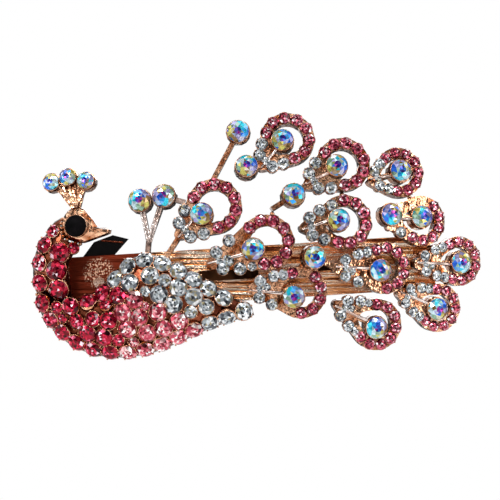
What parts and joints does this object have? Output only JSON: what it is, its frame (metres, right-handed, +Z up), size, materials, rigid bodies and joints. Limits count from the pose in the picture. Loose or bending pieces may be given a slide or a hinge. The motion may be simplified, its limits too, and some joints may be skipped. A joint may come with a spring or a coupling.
{
  "type": "hair barrette",
  "caption": "Peacock-shaped rhinestone hair barrette: a cast stone-set bird with a fan of open feathers on a sprung French clip.",
  "frame": {"origin": "middle of the hair grip, on the rear face of the clip bar", "axes": "+X along the ornament from the bird's breast to its tail, +Z up, the ornament faces -Y and the hair is behind it"},
  "size_m": [0.1, 0.0188, 0.0548],
  "materials": {
    "rose_gold_plate": "polished rose-gold plate",
    "clip_steel": "rose-gold flashed spring steel",
    "ruby_crystal": "foil-backed ruby pink rhinestone",
    "rose_crystal": "foil-backed rose rhinestone",
    "clear_crystal": "foil-backed clear rhinestone",
    "iridescent_crystal": "iridescent coated rhinestone",
    "black_crystal": "black cabochon"
  },
  "bodies": {
    "ornament": {"clip_bar": "rose_gold_plate", "head_casting": "rose_gold_plate", "neck_casting": "rose_gold_plate", "body_casting": "rose_gold_plate", "plume_stems": "rose_gold_plate", "hinge_pin": "clip_steel", "bow_spring": "clip_steel", "latch_base": "clip_steel", "latch_rivet": "clip_steel", "crown_stones": "iridescent_crystal", "plume_stones": "iridescent_crystal", "eye_stone": "black_crystal", "neck_stones": "ruby_crystal", "breast_stones": "ruby_crystal", "rose_stones": "rose_crystal", "wing_stones": "clear_crystal", "feather_01_frame": "rose_gold_plate", "feather_01_small_stones": "ruby_crystal", "feather_01_centre_stone": "iridescent_crystal", "feather_02_frame": "rose_gold_plate", "feather_02_small_stones": "ruby_crystal", "feather_02_centre_stone": "iridescent_crystal", "feather_03_frame": "rose_gold_plate", "feather_03_small_stones": "ruby_crystal", "feather_03_centre_stone": "iridescent_crystal", "feather_04_frame": "rose_gold_plate", "feather_04_small_stones": "ruby_crystal", "feather_04_centre_stone": "iridescent_crystal", "feather_05_frame": "rose_gold_plate", "feather_05_small_stones": "ruby_crystal", "feather_05_centre_stone": "iridescent_crystal", "feather_06_frame": "rose_gold_plate", "feather_06_small_stones": "ruby_crystal", "feather_06_centre_stone": "iridescent_crystal", "feather_07_frame": "rose_gold_plate", "feather_07_small_stones": "ruby_crystal", "feather_07_centre_stone": "iridescent_crystal", "feather_08_frame": "rose_gold_plate", "feather_08_small_stones": "ruby_crystal", "feather_08_centre_stone": "iridescent_crystal", "feather_09_frame": "rose_gold_plate", "feather_09_small_stones": "ruby_crystal", "feather_09_centre_stone": "iridescent_crystal", "feather_10_frame": "rose_gold_plate", "feather_10_small_stones": "ruby_crystal", "feather_10_centre_stone": "iridescent_crystal", "feather_11_frame": "rose_gold_plate", "feather_11_small_stones": "ruby_crystal", "feather_11_centre_stone": "iridescent_crystal", "feather_12_frame": "rose_gold_plate", "feather_12_small_stones": "ruby_crystal", "feather_12_centre_stone": "iridescent_crystal", "link_stone_1": "iridescent_crystal", "link_stone_2": "iridescent_crystal", "link_stone_3": "iridescent_crystal", "link_stone_4": "iridescent_crystal", "link_stone_5": "iridescent_crystal"},
    "arm": {"clip_arm": "clip_steel"},
    "upper_jaw": {"latch_upper_jaw": "clip_steel"},
    "lower_jaw": {"latch_lower_jaw": "clip_steel"}
  },
  "joints": [
    {"name": "arm_hinge", "type": "hinge", "parent": "ornament", "child": "arm", "pos_m": [0.03693, 0.0072, 0.00232], "axis": [0.0628, 0, -0.998], "range_deg": [0, 75]},
    {"name": "upper_jaw_pinch", "type": "hinge", "parent": "ornament", "child": "upper_jaw", "pos_m": [-0.03102, 0.0036, 0.00085], "axis": [-0.998, 0, -0.0628], "range_deg": [0, 7], "stiffness_Nm_per_rad": 0.2},
    {"name": "lower_jaw_pinch", "type": "hinge", "parent": "ornament", "child": "lower_jaw", "pos_m": [-0.03066, 0.0036, -0.00473], "axis": [0.998, 0, 0.0628], "range_deg": [0, 7], "stiffness_Nm_per_rad": 0.2}
  ]
}
